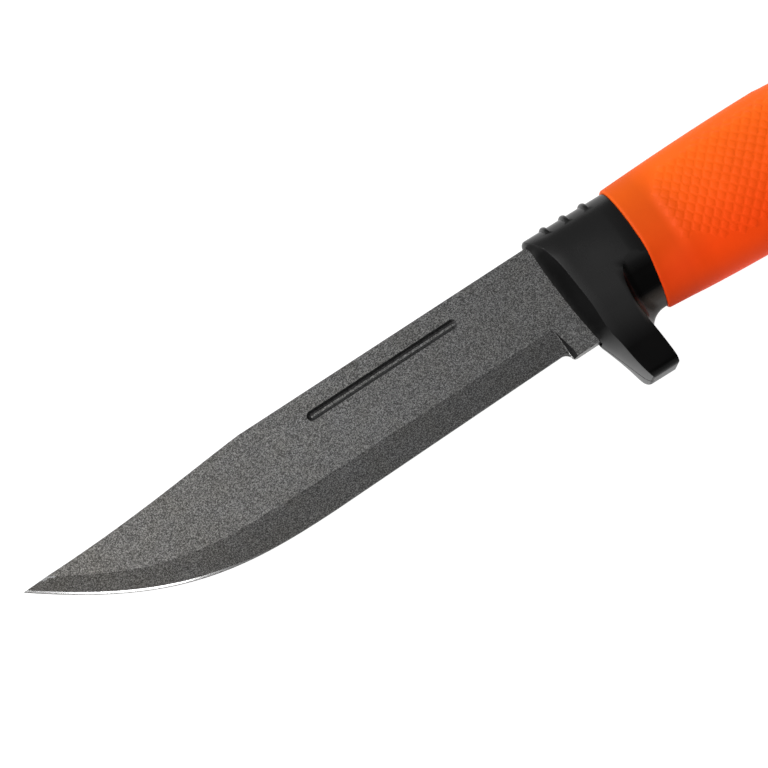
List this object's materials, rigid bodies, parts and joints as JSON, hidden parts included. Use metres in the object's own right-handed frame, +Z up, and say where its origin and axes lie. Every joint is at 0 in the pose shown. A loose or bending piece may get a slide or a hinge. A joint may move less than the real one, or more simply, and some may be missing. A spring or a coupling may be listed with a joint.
{
  "type": "fixed-blade knife",
  "caption": "Fixed-blade knife with a clipped, sabre-ground blade, a black finger-guarded bolster, a soft orange grip and a lanyard hole through the butt.",
  "frame": {"origin": "middle of the bounding box's bottom face, with the knife lying on its right side", "axes": "+X along the handle from the tip to the butt, +Y towards the spine, +Z up out of the knife's left side"},
  "size_m": [0.2478, 0.0426, 0.02],
  "materials": {
    "blade_steel": "bead-blasted grey stainless steel, dull and finely grained",
    "bolster_polymer": "smooth satin black moulding",
    "grip_elastomer": "soft matte orange elastomer with moulded diamonds",
    "core_polymer": "plain dark moulding, hidden inside the grip",
    "pin_steel": "plain turned steel"
  },
  "bodies": {
    "root": {"blade": "blade_steel", "bolster": "bolster_polymer", "core_left": "core_polymer", "core_right": "core_polymer", "front_pin": "pin_steel", "rear_pin": "pin_steel", "grip_sleeve": "grip_elastomer", "butt_cap": "bolster_polymer", "lanyard_tube": "pin_steel"}
  },
  "joints": []
}
